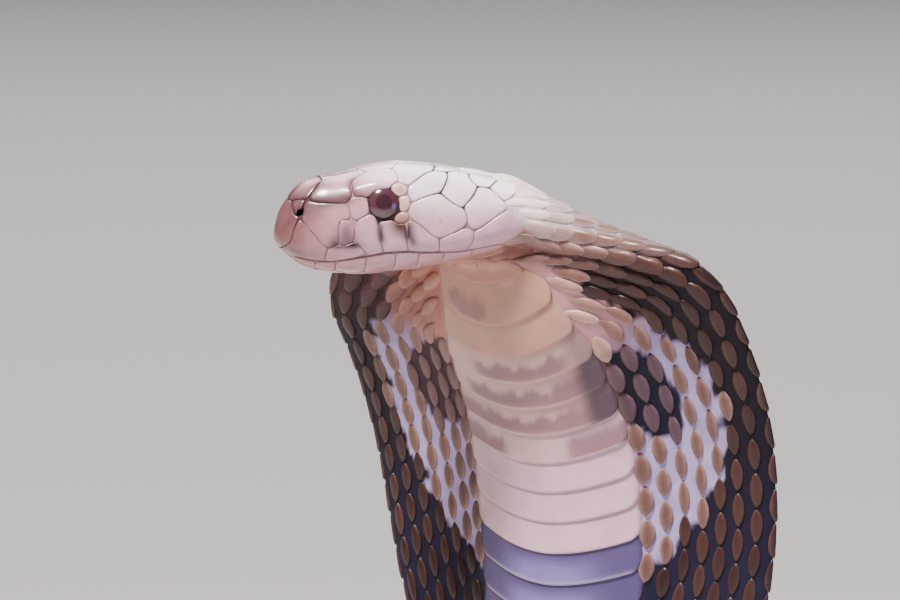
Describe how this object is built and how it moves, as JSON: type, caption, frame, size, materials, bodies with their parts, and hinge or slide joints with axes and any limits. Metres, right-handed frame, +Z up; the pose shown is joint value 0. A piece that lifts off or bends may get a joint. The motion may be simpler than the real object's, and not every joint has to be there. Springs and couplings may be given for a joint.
{
  "type": "monocled cobra",
  "caption": "Reared monocled cobra with its hood spread, head turned to the side, body coiled flat on the floor.",
  "frame": {"origin": "on the floor, under the middle of the box round the animal", "axes": "+Z up, the belly side of the hood faces -Y, the animal's left is +X"},
  "size_m": [0.2848, 0.2629, 0.3113],
  "materials": {
    "head_shields": "satin",
    "hood_skin": "satin",
    "body_scales": "satin",
    "eye": "gloss"
  },
  "bodies": {
    "root": {"head": "head_shields", "lower_jaw": "head_shields", "eye_left": "eye", "eye_right": "eye", "hood_upper": "hood_skin", "hood_lower": "body_scales", "rise": "body_scales", "foot": "body_scales", "coil_1": "body_scales", "coil_2": "body_scales", "coil_3": "body_scales", "coil_4": "body_scales", "coil_5": "body_scales", "coil_6": "body_scales", "coil_7": "body_scales", "tail": "body_scales"}
  },
  "joints": []
}
